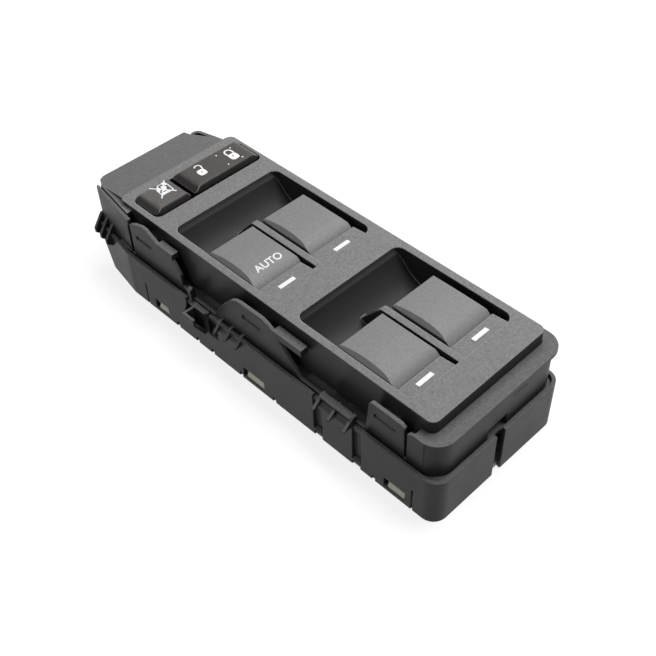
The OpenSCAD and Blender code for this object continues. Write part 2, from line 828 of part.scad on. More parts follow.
module knob_shape() {
    block(-knob_x, -knob_y, -knob_foot, knob_x, knob_y, -fork_foot);
    for (side = [-knob_x, leg_tip / 2 + fork_gap])
        block(side, -knob_y, -fork_foot - tiny, side + knob_x - leg_tip / 2 - fork_gap,
              knob_y, shelf_z - 0.6);
}

module slide_knob()
    color("white")
        translate([0, rocker_width / 2, pivot_depth])
            knob_shape();

module slide_body()
    difference() {
        block(-7.6, -4.4, board_z, 7.6, 4.4, -body_top);
        block(-knob_x - slide_travel - 0.3, -knob_y - 0.2, -knob_foot - 0.2,
              knob_x + slide_travel + 0.3, knob_y + 0.2, -body_top + over);
    }

module driver_slide_knob()
    at_rocker(0, 0)
        slide_knob();

module passenger_slide_knob()
    at_rocker(0, 1)
        slide_knob();

module rear_slide_knob_near()
    at_rocker(1, 0)
        slide_knob();

module rear_slide_knob_far()
    at_rocker(1, 1)
        slide_knob();

module slide_switch_bodies()
    color("black")
        each_rocker()
            translate([0, rocker_width / 2, 0])
                slide_body();

// lock rocker: a long button with rounded ends that tips along Y

module lock_side(t)
    intersection() {
        circle(r = lock_reach - t, $fn = dome_fn);
        soft(inward([[-lock_reach - 1, -3], [lock_reach + 1, -3], [lock_reach + 1, 4.6],
                     [lock_reach - 3.1, lock_pivot_depth + button_height],
                     [4.1 - lock_reach, lock_pivot_depth + button_height],
                     [-lock_reach - 1, 4.4]], t),
             less([0, 0, 2, 5, 5, 2], t));
    }

module button_front(height, t)
    soft(inward([[button_left, -cap_drop - 2 * t], [button_right, -cap_drop - 2 * t],
                 [button_right, 0.4], [button_right - 1, height], [button_left + 1.9, height],
                 [button_left, 0.6]], t),
         less([0, 0, 1, 1.6, 1.6, 1], t));

module lock_rocker() {
    tilt_side = lock_y - lock_reach;
    color("dimgray")
        union() {
            intersection() {
                along_x(button_left, button_right)
                    translate([lock_y, -lock_pivot_depth])
                        lock_side(0);
                along_y(tilt_side, tilt_side + 2 * lock_reach)
                    button_front(button_height, 0);
                slab(-cap_drop - over, button_height + over)
                    soft(box_outline(button_left, tilt_side, button_right,
                                     tilt_side + 2 * lock_reach), [3, 3, 3, 3]);
                cap_hollow(tilt_side, tilt_side + 2 * lock_reach, shell + 1.2);
            }
            along_x(button_mid - leg_width / 2, button_mid + leg_width / 2)
                translate([lock_y, -lock_pivot_depth])
                    union() {
                        translate([0, -lock_leg])
                            circle(d = leg_tip, $fn = round_fn);
                        translate([-leg_shank / 2, -lock_leg])
                            square([leg_shank, lock_leg + lock_pivot_depth + 1.4]);
                    }
            for (x = [button_left + tiny, button_right - shell - post_thickness - 0.8])
                translate([x, lock_y, -lock_pivot_depth])
                    rotate([0, 90, 0])
                        cylinder(d = pin_diameter, h = shell + post_thickness + 0.8 - tiny,
                                 $fn = round_fn);
        }
}

// everything but the hollow inside of a button
module cap_hollow(near, far, end)
    difference() {
        block(button_left - over, near - over, -cap_drop - 2 * over, button_right + over,
              far + over, button_height + over);
        block(button_left + shell, near + end, -cap_drop - 3 * over,
              button_right - shell, far - end, button_height - shell - 0.4);
    }

module lock_slide_knob()
    color("white")
        translate([button_mid, lock_y, 0])
            rotate([0, 0, 90])
                knob_shape();

module lock_slide_switch()
    color("black")
        translate([button_mid, lock_y, 0])
            rotate([0, 0, 90])
                slide_body();

// lockout button: a hollow cap on a round stem

module lockout_button()
    color("dimgray")
        union() {
            intersection() {
                along_x(button_left, button_right)
                    soft([[lockout_near - 1, -cap_drop], [lockout_far + 1, -cap_drop],
                          [lockout_far + 1, -0.6], [lockout_far - 1.4, button_height],
                          [lockout_near + 2.6, button_height], [lockout_near - 1, -0.6]],
                         [0, 0, 2, 2, 4, 2]);
                along_y(lockout_near, lockout_far)
                    button_front(button_height, 0);
                slab(-cap_drop - over, button_height + over)
                    soft(box_outline(button_left, lockout_near, button_right, lockout_far),
                         [3, 3, 1.4, 1.4]);
                cap_hollow(lockout_near, lockout_far, shell);
            }
            translate([button_mid, lockout_mid, shelf_z - 1])
                cylinder(d = stem_diameter, h = shelf_depth + 1 + button_height - shell,
                         $fn = round_fn);
        }

module lockout_plunger()
    color("black")
        translate([button_mid, lockout_mid, shelf_z - 1 - 4.2])
            cylinder(d = 3.4, h = 4.2);

module lockout_switch()
    color("black")
        translate([button_mid, lockout_mid, 0])
            difference() {
                block(-3.2, -3.2, board_z, 3.2, 3.2, shelf_z - 1 - lockout_travel - 0.4);
                translate([0, 0, board_z + 0.2])
                    cylinder(d = 4.2, h = 8);
            }

// board and what is soldered to it

module circuit_board()
    color("darkgreen")
        slab(board_z - board_thickness, board_z)
            soft(box_outline(4, 3.5, bezel_length - 3, bezel_width - 4), [2, 2, 2, 2]);

module connector_header() {
    x0 = socket_x - socket_length / 2;
    y0 = socket_y - socket_width / 2;
    top = board_z - board_thickness;
    color("black")
        difference() {
            block(x0, y0, floor_z + 0.4, x0 + socket_length, y0 + socket_width, top);
            block(x0 + socket_wall, y0 + socket_wall, floor_z - over,
                  x0 + socket_length - socket_wall, y0 + socket_width - socket_wall,
                  top - 1.8);
            block(socket_x - 3, y0 - over, floor_z - over, socket_x + 3,
                  y0 + socket_wall + tiny, floor_z + 5);
        }
}

module connector_pins()
    color("gold")
        for (i = [0 : socket_columns - 1], y = [-2.2, 2.2])
            translate([socket_x + (i - (socket_columns - 1) / 2) * pin_pitch, socket_y + y, 0])
                block(-0.32, -0.32, floor_z + 3.4, 0.32, 0.32, board_z + 0.8);

module board_lamps()
    color("ivory")
        for (x = [button_mid - 5, well_left[0] + pivot_offset + 9.8,
                  well_left[1] + pivot_offset + 9.8], y = [lockout_mid, bezel_width - 8])
            block(x - 1.2, y - 0.8, board_z, x + 1.2, y + 0.8, board_z + 1);

module control_chip()
    color("black")
        translate([well_x + 18, bezel_width / 2, board_z - board_thickness - 1.4])
            block(-5, -5, 0, 5, 5, 1.4);

module board_parts()
    color("tan")
        for (i = [0 : 4])
            translate([button_mid + 6 + 5 * i, lockout_mid + 4, board_z - board_thickness - 1])
                block(0, 0, 0, 2.2, 1.4, 1);

place() {
    bezel();
    housing();
    base_cover();
    switch_carrier();
    circuit_board();
    connector_header();
    connector_pins();
    driver_window_rocker();
    passenger_window_rocker();
    rear_window_rocker_near();
    rear_window_rocker_far();
    driver_slide_knob();
    passenger_slide_knob();
    rear_slide_knob_near();
    rear_slide_knob_far();
    slide_switch_bodies();
    lock_rocker();
    lock_slide_knob();
    lock_slide_switch();
    lockout_button();
    lockout_plunger();
    lockout_switch();
    board_lamps();
    control_chip();
    board_parts();
}
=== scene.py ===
import json
import math

import bmesh
import bpy
import numpy as np
from mathutils import Matrix, Vector


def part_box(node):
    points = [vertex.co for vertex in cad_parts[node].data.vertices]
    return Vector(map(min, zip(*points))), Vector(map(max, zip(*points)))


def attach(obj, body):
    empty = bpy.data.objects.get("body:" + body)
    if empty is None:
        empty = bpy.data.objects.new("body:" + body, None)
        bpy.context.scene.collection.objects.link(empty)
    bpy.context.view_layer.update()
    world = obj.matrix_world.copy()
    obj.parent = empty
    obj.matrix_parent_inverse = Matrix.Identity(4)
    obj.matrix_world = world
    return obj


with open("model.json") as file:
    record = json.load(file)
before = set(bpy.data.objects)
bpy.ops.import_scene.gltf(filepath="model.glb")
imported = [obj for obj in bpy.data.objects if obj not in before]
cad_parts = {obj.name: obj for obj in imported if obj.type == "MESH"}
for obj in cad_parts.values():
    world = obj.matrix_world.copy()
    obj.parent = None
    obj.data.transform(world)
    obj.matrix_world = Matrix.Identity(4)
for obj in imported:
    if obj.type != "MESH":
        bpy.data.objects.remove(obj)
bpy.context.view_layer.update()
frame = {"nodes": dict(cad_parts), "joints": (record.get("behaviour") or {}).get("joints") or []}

MM = 0.001

# Sizes of the part, in millimetres, and the angle where a rocker's dome meets its nose
BEZEL_LENGTH = 170.0
BEZEL_WIDTH = 60.3
NOSE_RADIUS = 10.7
DOME_RADIUS = 70.0
DOME_LEAN = math.radians(6.8)
BUTTON_TOP = 2.8
LANDING_SLOPE = 0.101
# Depth under the bezel's top where its grain and the painted light of the top colour end; the
# wells below are smooth and keep the dark side colour as painted shade
GRAIN_AND_LIGHT_DEPTH = 2.2

# Marks: heights above the plastic and sizes, in millimetres
MARK_LIFT = 0.04
LAYER_STEP = 0.01
LETTER_HEIGHT = 3.4
BAR_HALF_LENGTH = 3.9
BAR_HALF_WIDTH = 1.0
BAR_HEIGHT = -0.80
BAR_PLACES = [(86.0, 13.6), (86.0, 42.5), (154.4, 13.4), (154.4, 42.6)]

# Camera, from the photograph's perspective
CAMERA_PLACE = (295.3, -162.9, 255.1)
CAMERA_AZIMUTH = 46.80
CAMERA_ELEVATION = 45.77
CAMERA_ROLL = -2.04
CAMERA_LENS = 55.22

# Light. The floor's glow lifts it to white for the camera only, and stops inside the
# skirt: axis, centre and half width, in metres.
FLOOR_TONE = 0.35
FLOOR_HALF = 3.0
FLOOR_DROP = 0.0002
FLOOR_GLOW = 0.80
GLOW_STOPS = (("X", 0.016, 0.074), ("Y", -0.0015, 0.0306))
GLOW_FADE = 0.0006
SKY = 0.19

# How much painted shade weakens the painted light on the tongue, and where the lighter colour
# fades out, in metres
TONGUE_PAINTED_SHADE = 0.34
GROUND_FADE = 0.0012
TONGUE_FADE = 0.001

# Grain, as shares of its full height on the smooth sides and on the grained faces that look up
WALL_GRAIN = 0.15
SKIN_GRAIN = 0.85

bezel_low, bezel_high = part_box("bezel")
ORIGIN = Vector((bezel_high[0] - BEZEL_LENGTH * MM, bezel_high[1] - BEZEL_WIDTH * MM,
                 bezel_high[2]))


def at(x, y, z):
    """The row frame's point, in metres, for a point in the working frame."""
    return ORIGIN + Vector((x, y, z)) * MM


def pivot(joint):
    """A hinge's place in the working frame, in millimetres."""
    for j in frame["joints"]:
        if j["name"] == joint:
            return (Vector(j["pos_m"]) - ORIGIN) / MM


# Camera and light

def aim(obj, place, azimuth, elevation, roll=0.0):
    """Turns obj at place so that it looks along azimuth and elevation, in degrees."""
    a, e, r = (math.radians(v) for v in (azimuth, elevation, roll))
    forward = Vector((-math.sin(a) * math.cos(e), math.cos(a) * math.cos(e), -math.sin(e)))
    level = Vector((math.cos(a), math.sin(a), 0.0))
    up = level.cross(forward)
    right = level * math.cos(r) + up * math.sin(r)
    up = right.cross(forward)
    turn = Matrix((right, up, -forward)).transposed().to_4x4()
    obj.matrix_world = Matrix.Translation(place) @ turn


def make_camera():
    data = bpy.data.cameras.new("photo_camera")
    data.lens = CAMERA_LENS
    data.sensor_width = 36.0
    data.clip_start = 0.01
    data.clip_end = 20.0
    camera = bpy.data.objects.new("photo_camera", data)
    bpy.context.scene.collection.objects.link(camera)
    aim(camera, at(*CAMERA_PLACE), CAMERA_AZIMUTH, CAMERA_ELEVATION, CAMERA_ROLL)
    bpy.context.scene.camera = camera


def soft_light(name, place, azimuth, elevation, size, power):
    data = bpy.data.lights.new(name, "AREA")
    data.shape = "RECTANGLE"
    data.size, data.size_y = size
    data.energy = power
    lamp = bpy.data.objects.new(name, data)
    bpy.context.scene.collection.objects.link(lamp)
    aim(lamp, Vector(place), azimuth, elevation)


def seen_ray(tree):
    """A mask that is 1 for rays from the camera, in a reflection or through glass."""
    path = tree.nodes.new("ShaderNodeLightPath")
    total = path.outputs["Is Camera Ray"]
    for ray in ("Is Glossy Ray", "Is Transmission Ray"):
        add = tree.nodes.new("ShaderNodeMath")
        add.operation = "ADD"
        add.use_clamp = True
        tree.links.new(total, add.inputs[0])
        tree.links.new(path.outputs[ray], add.inputs[1])
        total = add.outputs[0]
    return total


def make_floor():
    side = FLOOR_HALF
    mesh = bpy.data.meshes.new("floor")
    mesh.from_pydata([(-side, -side, 0), (side, -side, 0), (side, side, 0), (-side, side, 0)],
                     [], [(0, 1, 2, 3)])
    floor = bpy.data.objects.new("floor", mesh)
    floor.location.z = -FLOOR_DROP
    bpy.context.scene.collection.objects.link(floor)
    material = bpy.data.materials.new("pale_floor")
    material.use_nodes = True
    tree = material.node_tree
    shader = tree.nodes["Principled BSDF"]
    shader.inputs["Base Color"].default_value = (FLOOR_TONE, FLOOR_TONE, FLOOR_TONE, 1.0)
    shader.inputs["Roughness"].default_value = 0.9
    shader.inputs["Specular IOR Level"].default_value = 0.0
    # the glow leaves the contact shadow, and there is none under the part, where no light
    # comes in
    glow = tree.nodes.new("ShaderNodeEmission")
    ground = tree.nodes.new("ShaderNodeNewGeometry")
    axes = tree.nodes.new("ShaderNodeSeparateXYZ")
    tree.links.new(ground.outputs["Position"], axes.inputs[0])
    reach = []
    for axis, centre, half in GLOW_STOPS:
        off = combine(tree, "SUBTRACT", axes.outputs[axis], centre)
        away = combine(tree, "ABSOLUTE", off, 0.0)
        reach.append(ramp(tree, away, half - GLOW_FADE, half))
    open_floor = combine(tree, "MAXIMUM", *reach)
    tree.links.new(combine(tree, "MULTIPLY", open_floor, FLOOR_GLOW),
                   glow.inputs["Strength"])
    add = tree.nodes.new("ShaderNodeAddShader")
    mix = tree.nodes.new("ShaderNodeMixShader")
    tree.links.new(shader.outputs[0], add.inputs[0])
    tree.links.new(glow.outputs[0], add.inputs[1])
    tree.links.new(seen_ray(tree), mix.inputs[0])
    tree.links.new(shader.outputs[0], mix.inputs[1])
    tree.links.new(add.outputs[0], mix.inputs[2])
    tree.links.new(mix.outputs[0], tree.nodes["Material Output"].inputs[0])
    mesh.materials.append(material)


def make_world():
    world = bpy.data.worlds.new("studio")
    bpy.context.scene.world = world
    world.use_nodes = True
    tree = world.node_tree
    soft = tree.nodes["Background"]
    soft.inputs["Color"].default_value = (1.0, 1.0, 1.0, 1.0)
    soft.inputs["Strength"].default_value = SKY
    white = tree.nodes.new("ShaderNodeBackground")
    white.inputs["Color"].default_value = (1.0, 1.0, 1.0, 1.0)
    white.inputs["Strength"].default_value = 1.0
    mix = tree.nodes.new("ShaderNodeMixShader")
    tree.links.new(seen_ray(tree), mix.inputs[0])
    tree.links.new(soft.outputs[0], mix.inputs[1])
    tree.links.new(white.outputs[0], mix.inputs[2])
    tree.links.new(mix.outputs[0], tree.nodes["World Output"].inputs[0])


def make_light():
    """Two softboxes: a wide one overhead and a weak one in front."""
    soft_light("overhead_softbox", (0.05, 0.30, 0.70), 0.0, 68.0, (0.7, 0.5), 7.0)
    soft_light("front_softbox", (-0.12, -0.70, 0.45), -10.0, 32.0, (0.35, 0.2), 0.7)


# Finishes. The grain, handling and lit-face effects are node groups with named inputs and
# outputs.

def new_group(name, inputs, outputs):
    """A node group: inputs are (label, value), a number or a vector; outputs are labels."""
    tree = bpy.data.node_groups.new(name, "ShaderNodeTree")
    for label, value in inputs:
        kind = "NodeSocketVector" if isinstance(value, tuple) else "NodeSocketFloat"
        socket = tree.interface.new_socket(label, in_out="INPUT", socket_type=kind)
        socket.default_value = value
    for label in outputs:
        tree.interface.new_socket(label, in_out="OUTPUT", socket_type="NodeSocketFloat")
    return tree, tree.nodes.new("NodeGroupInput"), tree.nodes.new("NodeGroupOutput")


def noise(tree, scale, detail, roughness=0.5):
    place = tree.nodes.new("ShaderNodeTexCoord")
    node = tree.nodes.new("ShaderNodeTexNoise")
    node.inputs["Scale"].default_value = scale
    node.inputs["Detail"].default_value = detail
    node.inputs["Roughness"].default_value = roughness
    tree.links.new(place.outputs["Object"], node.inputs["Vector"])
    return node


def combine(tree, operation, first, second):
    """A Math node on two values, each a socket or a number."""
    node = tree.nodes.new("ShaderNodeMath")
    node.operation = operation
    for socket, value in zip(node.inputs, (first, second)):
        if isinstance(value, (int, float)):
            socket.default_value = value
        else:
            tree.links.new(value, socket)
    return node.outputs[0]


def ramp(tree, value, low, high):
    """0 where value is at low, 1 at high, smooth between; each a socket or a number."""
    node = tree.nodes.new("ShaderNodeMapRange")
    node.interpolation_type = "SMOOTHSTEP"
    for label, limit in (("From Min", low), ("From Max", high)):
        if isinstance(limit, (int, float)):
            node.inputs[label].default_value = limit
        else:
            tree.links.new(limit, node.inputs[label])
    tree.links.new(value, node.inputs["Value"])
    return node.outputs["Result"]


def make_grain_group():
    """Mould grain: fine cells with a finer noise over them. Both outputs in 0 to 1."""
    tree, start, end = new_group("mould_grain", [("Cells", 1500.0)], ["Height", "Speckle"])
    place = tree.nodes.new("ShaderNodeTexCoord")
    cells = tree.nodes.new("ShaderNodeTexVoronoi")
    cells.feature = "SMOOTH_F1"
    cells.inputs["Smoothness"].default_value = 0.5
    tree.links.new(place.outputs["Object"], cells.inputs["Vector"])
    tree.links.new(start.outputs["Cells"], cells.inputs["Scale"])
    fine = noise(tree, 1100.0, 3.0)
    half = combine(tree, "MULTIPLY", fine.outputs["Fac"], 0.5)
    height = combine(tree, "ADD", half, cells.outputs["Distance"])
    tree.links.new(height, end.inputs["Height"])
    tree.links.new(fine.outputs["Fac"], end.inputs["Speckle"])
    return tree


def make_handling_group():
    """Slow changes of tone and gloss left by moulding and handling. Both in 0 to 1."""
    tree, start, end = new_group("handling", [], ["Tone", "Gloss"])
    for label, scale, detail, rough in (("Tone", 24.0, 3.0, 0.6), ("Gloss", 90.0, 5.0, 0.65)):
        field = noise(tree, scale, detail, rough)
        tree.links.new(field.outputs["Fac"], end.inputs[label])
    return tree


def make_lit_face_group():
    """Where the grain shows, and where painted light lightens the colour: on faces and corners
    that look up, above the height Ground, and at any height left of the place Tongue, weaker
    there as painted shade. Mask in 0 to 1."""
    tree, start, end = new_group(
        "lit_face", [("Facing", (0.0, 0.0, 1.0)), ("Steep", 0.3), ("Level", 0.8),
                     ("Ground", -1.0), ("Tongue", -1.0)], ["Mask"])
    facing = tree.nodes.new("ShaderNodeSeparateXYZ")
    tree.links.new(start.outputs["Facing"], facing.inputs[0])
    up = ramp(tree, facing.outputs["Z"], start.outputs["Steep"], start.outputs["Level"])
    place = tree.nodes.new("ShaderNodeTexCoord")
    spot = tree.nodes.new("ShaderNodeSeparateXYZ")
    tree.links.new(place.outputs["Object"], spot.inputs[0])
    rise = combine(tree, "SUBTRACT", spot.outputs["Z"], start.outputs["Ground"])
    high = ramp(tree, rise, -GROUND_FADE, 0.0)
    shift = combine(tree, "SUBTRACT", start.outputs["Tongue"], spot.outputs["X"])
    left = ramp(tree, shift, -TONGUE_FADE, 0.0)
    # painted shade on the tongue: the lighter top colour is weaker left of the place Tongue
    tongue_shade = combine(tree, "SUBTRACT", 1.0, combine(tree, "MULTIPLY", left, TONGUE_PAINTED_SHADE))
    reach = combine(tree, "MULTIPLY", combine(tree, "MAXIMUM", high, left), tongue_shade)
    tree.links.new(combine(tree, "MULTIPLY", up, reach), end.inputs["Mask"])
    return tree


def use_group(tree, group, **values):
    node = tree.nodes.new("ShaderNodeGroup")
    node.node_tree = group
    for label, value in values.items():
        node.inputs[label].default_value = value
    return node


def blend(tree, mask, first, second):
    """The first colour where mask is 0 and the second where it is 1, each a socket or a
    colour."""
    node = tree.nodes.new("ShaderNodeMix")
    node.data_type = "RGBA"
    tree.links.new(mask, node.inputs["Factor"])
    for label, colour in (("A", first), ("B", second)):
        if isinstance(colour, tuple):
            node.inputs[label].default_value = (*colour, 1.0)
        else:
            tree.links.new(colour, node.inputs[label])
    return node.outputs["Result"]


def spread(tree, value, low, high):
    """value, taken from 0.25 to 0.75, spread between low and high."""
    node = tree.nodes.new("ShaderNodeMapRange")
    node.inputs["From Min"].default_value = 0.25
    node.inputs["From Max"].default_value = 0.75
    for label, limit in (("To Min", low), ("To Max", high)):
        if isinstance(limit, (int, float)):
            node.inputs[label].default_value = limit
        else:
            tree.links.new(limit, node.inputs[label])
    tree.links.new(value, node.inputs["Value"])
    return node.outputs["Result"]


def shade(colour, factor):
    return tuple(min(c * factor, 1.0) for c in colour)


def painted_edge_highlight(tree, corner):
    """A mask of a painted highlight on the edges that would catch the light: where the rounded
    normal leaves the true one, on the side that looks up."""
    surface = tree.nodes.new("ShaderNodeNewGeometry")
    meet = tree.nodes.new("ShaderNodeVectorMath")
    meet.operation = "DOT_PRODUCT"
    tree.links.new(surface.outputs["True Normal"], meet.inputs[0])
    tree.links.new(corner.outputs["Normal"], meet.inputs[1])
    turned = ramp(tree, combine(tree, "SUBTRACT", 1.0, meet.outputs["Value"]), 0.01, 0.12)
    axes = tree.nodes.new("ShaderNodeSeparateXYZ")
    tree.links.new(corner.outputs["Normal"], axes.inputs[0])
    return combine(tree, "MULTIPLY", turned, ramp(tree, axes.outputs["Z"], 0.1, 0.6))


def moulded(name, side, top, rough, cells=1500.0, depth=0.03, edge=0.7, ground=-1.0,
            tongue=-1.0, facing=(0.3, 0.8), gloss=0.16, speckle=0.22, edge_highlight=None,
            metal=0.0):
    """A moulded plastic. side is the colour of its smooth sides, in painted shade, and top is
    the colour of its grained faces that look up, lighter with painted light; rough is the
    roughness of the two; cells and depth set the grain, edge rounds the corners in the
    shading, speckle is the grain's change of tone, rub is the colour of a painted highlight
    on the edges that look up, and ground, tongue and facing are the limits of the grain and
    of the painted light."""
    material = bpy.data.materials.new(name)
    material.use_nodes = True
    tree = material.node_tree
    shader = tree.nodes["Principled BSDF"]
    shader.inputs["Specular IOR Level"].default_value = gloss
    shader.inputs["Metallic"].default_value = metal
    corner = tree.nodes.new("ShaderNodeBevel")
    corner.samples = 4
    corner.inputs["Radius"].default_value = edge * MM
    handling = use_group(tree, HANDLING)
    grain = use_group(tree, GRAIN, Cells=cells)
    lit = use_group(tree, LIT_FACE, Steep=facing[0], Level=facing[1], Ground=ground,
                    Tongue=tongue)
    tree.links.new(corner.outputs["Normal"], lit.inputs["Facing"])
    tone = spread(tree, handling.outputs["Tone"], 0.0, 1.0)
    # painted shade: the smooth sides take the dark side colour, with a slow change of tone
    shaded_sides = blend(tree, tone, shade(side, 0.9), shade(side, 1.12))
    specks = spread(tree, grain.outputs["Speckle"], 0.0, 1.0)
    # painted light: faces that look up take the lighter top colour, with the grain's speckle
    grain_and_painted_light = blend(tree, specks, shade(top, 1 - speckle), shade(top, 1 + speckle))
    mask = lit.outputs["Mask"]
    # a painted highlight colour lies on the edges that look up, over the painted light and shade
    tree.links.new(blend(tree, painted_edge_highlight(tree, corner), blend(tree, mask, shaded_sides, grain_and_painted_light),
                         edge_highlight or shade(top, 1.6)), shader.inputs["Base Color"])
    matt = spread(tree, handling.outputs["Gloss"], rough[0] - 0.05, rough[0] + 0.05)
    tree.links.new(combine(tree, "ADD", matt, combine(tree, "MULTIPLY", mask,
                                                      rough[1] - rough[0])),
                   shader.inputs["Roughness"])
    bump = tree.nodes.new("ShaderNodeBump")
    bump.inputs["Distance"].default_value = depth * MM
    rise = combine(tree, "MULTIPLY", mask, SKIN_GRAIN)
    height = combine(tree, "MULTIPLY", grain.outputs["Height"],
                     combine(tree, "ADD", rise, WALL_GRAIN))
    tree.links.new(height, bump.inputs["Height"])
    tree.links.new(corner.outputs["Normal"], bump.inputs["Normal"])
    tree.links.new(bump.outputs["Normal"], shader.inputs["Normal"])
    return material


def paint(node, material):
    mesh = frame["nodes"][node].data
    mesh.materials.clear()
    mesh.materials.append(material)


# Marks: lettering, icons and bars printed on the plastic

def stroke(path, width, closed=False):
    """A line of even width along path, on a grid of two rows: each point goes out by half
    the width along the mean normal of its two segments, lengthened at the corner."""
    p = np.asarray(path, float)
    if closed:
        before, after = p - np.roll(p, 1, 0), np.roll(p, -1, 0) - p
    else:
        step = np.diff(p, axis=0)
        before = np.vstack([step[:1], step])
        after = np.vstack([step, step[-1:]])
    turn = np.array([[0.0, 1.0], [-1.0, 0.0]])
    n0 = (before / np.linalg.norm(before, axis=1, keepdims=True)) @ turn
    n1 = (after / np.linalg.norm(after, axis=1, keepdims=True)) @ turn
    mean = n0 + n1
    mean /= np.linalg.norm(mean, axis=1, keepdims=True)
    reach = width / 2 / np.maximum((mean * n0).sum(1, keepdims=True), 0.35)
    return strip(p + mean * reach, p - mean * reach, closed)


def strip(first_row, second_row, closed):
    """The band of four-sided faces between two rows of as many points."""
    count = len(first_row)
    here = np.arange(count if closed else count - 1)
    there = (here + 1) % count
    faces = np.stack([here, there, there + count, here + count], 1)
    return np.concatenate([first_row, second_row]), faces


def oval(cx, cy, half_u, half_v, square=1.0, count=32):
    """A closed row round an oval: the half sizes times the cosine and sine of even angles,
    each raised to the power square, so that less than 1 fills out the corners."""
    a = np.linspace(0, 2 * np.pi, count, endpoint=False)
    ring = np.stack([np.cos(a), np.sin(a)], 1)
    ring = np.sign(ring) * np.abs(ring) ** square
    return ring * (half_u, half_v) + (cx, cy)


def patch(points):
    """One filled face with the given corners."""
    return np.asarray(points, float), [list(range(len(points)))]


def plate(half_u, half_v):
    return patch([[-half_u, -half_v], [half_u, -half_v], [half_u, half_v],
                  [-half_u, half_v]])


def join(parts):
    """One list of points, faces and layer numbers from several parts, every face turned
    to look up."""
    points, faces, layers, start = [], [], [], 0
    for layer, (p, f) in enumerate(parts):
        p = np.asarray(p, float)
        for face in f:
            ring = p[list(face)]
            turn = np.cross(ring, np.roll(ring, -1, 0)).sum()
            face = [int(i) + start for i in face]
            faces.append(face if turn > 0 else face[::-1])
        points.append(p)
        layers.append(np.full((len(p), 1), layer))
        start += len(p)
    return np.concatenate(points), faces, np.concatenate(layers)


def printed(name, parts, lay, body, material):
    """A printed mark. lay turns its flat (u, v) points into points and normals of the
    working frame on the surface; the mark lies a hair above it, and each of its parts a
    little above the one before."""
    points, faces, layers = join(parts)
    on, normal = lay(points[:, 0], points[:, 1])
    world = np.array(ORIGIN) + (on + normal * (MARK_LIFT + LAYER_STEP * layers)) * MM
    mesh = bpy.data.meshes.new(name)
    mesh.from_pydata(world.tolist(), [], faces)
    mesh.update()
    mesh.materials.append(material)
    mark = bpy.data.objects.new(name, mesh)
    bpy.context.scene.collection.objects.link(mark)
    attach(mark, body)


def level_lay(cx, cy, height, slope=0.0):
    """Flat marks on a level or gently sloped top: u runs along +Y and v toward -X from the
    centre, and the height rises by slope per unit of X."""
    def lay(u, v):
        points = np.stack([cx - v, cy + u, height - v * slope], 1)
        normal = np.tile([-slope, 0.0, 1.0], (len(u), 1))
        return points, normal / np.hypot(slope, 1.0)
    return lay


def rocker_lay(centre, cy, down):
    """Marks on a rocker's dome and nose: u runs along +Y, and v is an arc length from the
    line where the dome meets the nose, positive up the dome and negative down the nose,
    less the drop down. On the nose the angle from upright is the lean plus the arc over
    the nose's radius; on the dome it is the lean less the arc over the dome's radius."""
    middle = np.array([centre[0], centre[2]])
    dome = middle - (DOME_RADIUS - NOSE_RADIUS) * np.array(
        [math.sin(DOME_LEAN), math.cos(DOME_LEAN)])

    def lay(u, v):
        arc = v - down
        on_dome = (arc > 0)[:, None]
        angle = np.where(arc > 0, DOME_LEAN - arc / DOME_RADIUS, DOME_LEAN - arc / NOSE_RADIUS)
        out = np.stack([np.sin(angle), np.cos(angle)], 1)
        flat = np.where(on_dome, dome + out * DOME_RADIUS, middle + out * NOSE_RADIUS)
        points = np.stack([flat[:, 0], cy + u, flat[:, 1]], 1)
        normal = np.stack([out[:, 0], np.zeros_like(u), out[:, 1]], 1)
        return points, normal
    return lay


def letters(word, height):
    """The flat points and faces of a word, centred, with capitals of the given height. It
    is cut across into eight bands, so that it can follow a curve."""
    curve = bpy.data.curves.new("word", "FONT")
    curve.body = word
    curve.size = 1.0
    curve.offset = 0.016
    holder = bpy.data.objects.new("word", curve)
    bpy.context.scene.collection.objects.link(holder)
    bpy.context.view_layer.update()
    mesh = bpy.data.meshes.new_from_object(holder.evaluated_get(
        bpy.context.evaluated_depsgraph_get()))
    work = bmesh.new()
    work.from_mesh(mesh)
    low = min(v.co.y for v in work.verts)
    high = max(v.co.y for v in work.verts)
    for cut in np.linspace(low, high, 9)[1:-1]:
        bmesh.ops.bisect_plane(work, geom=work.verts[:] + work.edges[:] + work.faces[:],
                               plane_co=(0.0, cut, 0.0), plane_no=(0.0, 1.0, 0.0))
    work.verts.index_update()
    points = np.array([v.co[:2] for v in work.verts])
    faces = [[v.index for v in f.verts] for f in work.faces]
    work.free()
    points = (points - (points.min(0) + points.max(0)) / 2) * height / (high - low)
    bpy.data.objects.remove(holder)
    bpy.data.meshes.remove(mesh)
    return points, faces


def bow(cx, cy, radius, start, end, foot):
    """A padlock's shackle: from foot, round a circle from start to end, in degrees."""
    a = np.radians(np.linspace(start, end, 14))
    return np.vstack([foot, np.stack([cx + radius * np.cos(a), cy + radius * np.sin(a)], 1)])


def open_padlock():
    return [strip(oval(-0.25, -1.05, 1.9, 2.05, 0.6), oval(-0.22, -0.9, 0.22, 0.55), True),
            stroke(bow(0.45, 2.65, 1.45, -30, 155, [[1.3, 0.4]]), 0.62)]


def shut_padlock():
    """A shut padlock with its keyhole, and the four small dots round it."""
    shackle = np.vstack([bow(0.75, 2.35, 1.62, 0, 180, [[2.37, 0.4]]), [[-0.87, 0.4]]])
    dots = [patch(oval(u, v, 0.38, 0.38, count=14))
            for u, v in ((-4.3, 4.2), (3.4, 4.1), (2.9, -4.5), (-4.6, -4.2))]
    return [strip(oval(0.75, -1.4, 2.05, 2.2, 0.6), oval(0.6, -1.0, 0.24, 0.7), True),
            stroke(shackle, 0.72)] + dots


